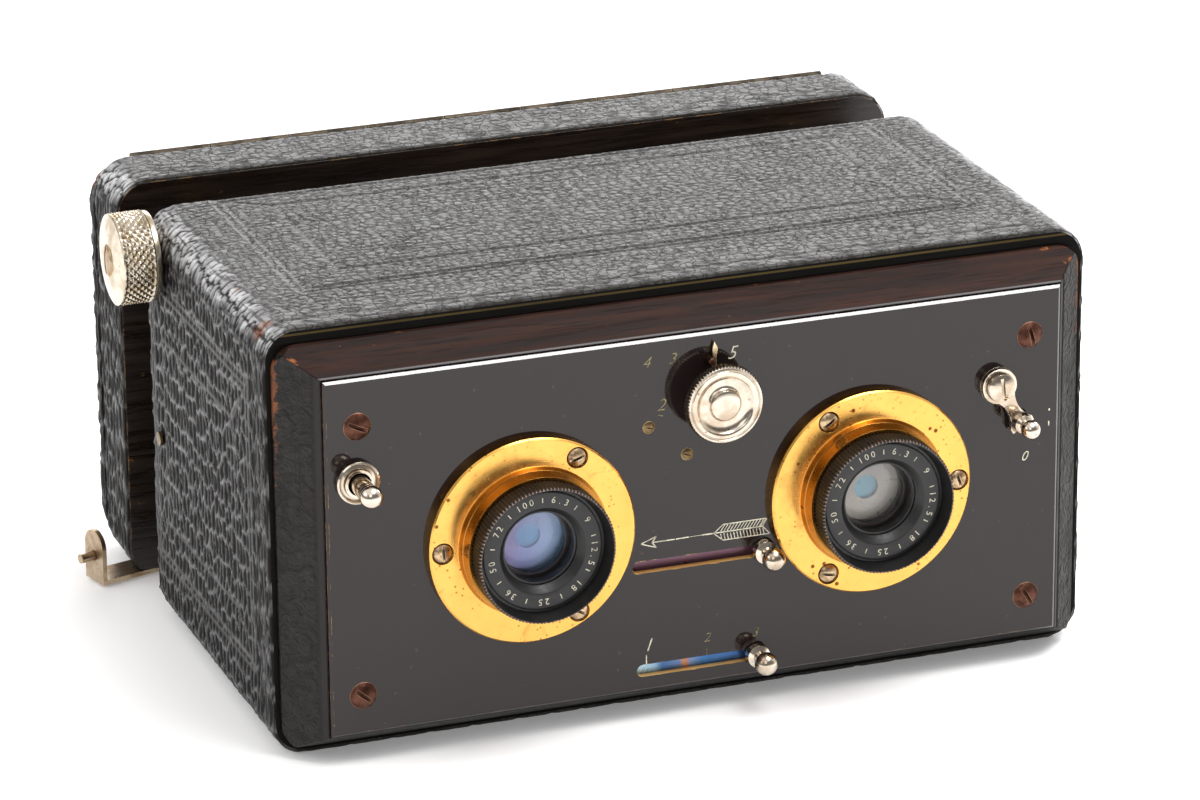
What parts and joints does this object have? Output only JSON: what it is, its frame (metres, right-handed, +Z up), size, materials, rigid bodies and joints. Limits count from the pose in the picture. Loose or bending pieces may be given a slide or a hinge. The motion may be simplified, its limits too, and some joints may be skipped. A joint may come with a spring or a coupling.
{
  "type": "stereo camera",
  "caption": "Leather-covered box camera with twin lenses, sliding shutter and stop studs, a racked focusing back and a hinged, latched rear door.",
  "frame": {"origin": "the centre of the tripod bush's mouth, in the plane of the base", "axes": "+X to the right as seen from in front; +Y from the lenses to the rear door; +Z up. Rest pose: back racked out fully, both studs at the right, door shut and latched"},
  "size_m": [0.1656, 0.1272, 0.0815],
  "materials": {
    "leather": "black pebble-grained leather, rubbed brown at the edges",
    "mahogany": "red-brown hardwood, oiled",
    "lacquered_wood": "dark lacquered hardwood",
    "black_moulding": "smooth black leather over hardwood",
    "black_septum": "matt black card",
    "front_enamel": "gloss black enamel on sheet brass",
    "black_brass": "black-lacquered brass, worn at the edges",
    "lacquered_brass": "spotted lacquered brass",
    "brown_brass": "oxidised brass",
    "small_screw_metal": "darkened brass",
    "nickel": "aged nickel plate",
    "aged_nickel": "nickel worn to brass",
    "steel": "bright steel",
    "blackened_steel": "blackened sheet steel",
    "lens_glass": "clear, with a purple reflection",
    "plate_glass": "glass plate with pale emulsion"
  },
  "bodies": {
    "body": {"carcass": "mahogany", "body_leather": "leather", "front_board": "mahogany", "top_moulding": "lacquered_wood", "bottom_moulding": "black_moulding", "left_moulding": "black_moulding", "right_moulding": "black_moulding", "front_septum": "black_septum", "tripod_bush": "brown_brass", "side_nail": "brown_brass", "front_plate": "front_enamel", "plate_screws": "brown_brass", "flange_screws": "lacquered_brass", "mechanism_screws": "small_screw_metal", "stop_pin": "brown_brass", "retaining_rings": "black_brass", "blade_guides": "brown_brass", "release_bush": "nickel", "mode_lever_seat": "nickel", "mode_lever_screw": "nickel", "shaft_bushes": "brown_brass", "lens_flange_left": "lacquered_brass", "lens_flange_right": "lacquered_brass", "lens_mount_left": "black_brass", "lens_mount_right": "black_brass", "front_glass_left": "lens_glass", "front_glass_right": "lens_glass", "rear_cell_left": "black_brass", "rear_cell_right": "black_brass", "rear_glass_left": "lens_glass", "rear_glass_right": "lens_glass"},
    "shutter_slide": {"shutter_blade": "blackened_steel", "shutter_stud": "nickel"},
    "diaphragm_slide": {"diaphragm_plate": "blackened_steel", "diaphragm_stud": "nickel"},
    "speed_knob": {"speed_knob": "nickel", "speed_pointer": "nickel", "tension_cam": "brown_brass"},
    "release_button": {"release_button": "nickel", "release_spring": "steel"},
    "mode_lever": {"mode_lever": "nickel"},
    "focus_knob": {"focus_knob": "nickel", "focus_knob_screw": "nickel", "focus_shaft": "steel", "focus_pinions": "brown_brass"},
    "focusing_back": {"inner_sleeve": "mahogany", "rear_septum": "black_septum", "focus_racks": "brown_brass", "back_frame": "lacquered_wood", "back_leather": "leather", "plate_sheath": "blackened_steel", "glass_plate": "plate_glass", "hinge_fixed_leaf": "aged_nickel", "hinge_pin": "aged_nickel", "latch_screw": "aged_nickel"},
    "rear_door": {"rear_door": "mahogany", "door_leather": "leather", "hinge_door_leaf": "aged_nickel", "pressure_springs": "steel"},
    "back_latch": {"back_latch": "aged_nickel"}
  },
  "joints": [
    {"name": "shutter_slide", "type": "slide", "parent": "body", "child": "shutter_slide", "axis": [1, 0, 0], "range_m": [-0.0235, 0]},
    {"name": "diaphragm_slide", "type": "slide", "parent": "body", "child": "diaphragm_slide", "axis": [1, 0, 0], "range_m": [-0.0212, 0]},
    {"name": "speed_knob_turn", "type": "hinge", "parent": "body", "child": "speed_knob", "pos_m": [0.00175, -0.045, 0.0603], "axis": [0, -1, 0], "range_deg": [-340, 0]},
    {"name": "release_press", "type": "slide", "parent": "body", "child": "release_button", "axis": [0, 1, 0], "range_m": [0, 0.003], "stiffness_N_per_m": 300, "springref_m": -0.002},
    {"name": "mode_lever_turn", "type": "hinge", "parent": "body", "child": "mode_lever", "pos_m": [0.0567, -0.0465, 0.0551], "axis": [0, -1, 0], "range_deg": [0, 35]},
    {"name": "focus_slide", "type": "slide", "parent": "body", "child": "focusing_back", "axis": [0, 1, 0], "range_m": [-0.0172, 0]},
    {"name": "focus_knob_turn", "type": "hinge", "parent": "body", "child": "focus_knob", "pos_m": [-0.08, 0.0285, 0.073], "axis": [1, 0, 0], "range_deg": [-360, 0]},
    {"name": "door_hinge", "type": "hinge", "parent": "focusing_back", "child": "rear_door", "pos_m": [0, 0.06825, 0.0786], "axis": [1, 0, 0], "range_deg": [0, 110]},
    {"name": "latch_turn", "type": "hinge", "parent": "focusing_back", "child": "back_latch", "pos_m": [-0.062, 0.06, 0.0009], "axis": [0, 0, -1], "range_deg": [0, 60]}
  ],
  "couplings": [
    {"joint": "focus_knob_turn", "follows": "focus_slide", "rad_per_m": 363.64}
  ]
}
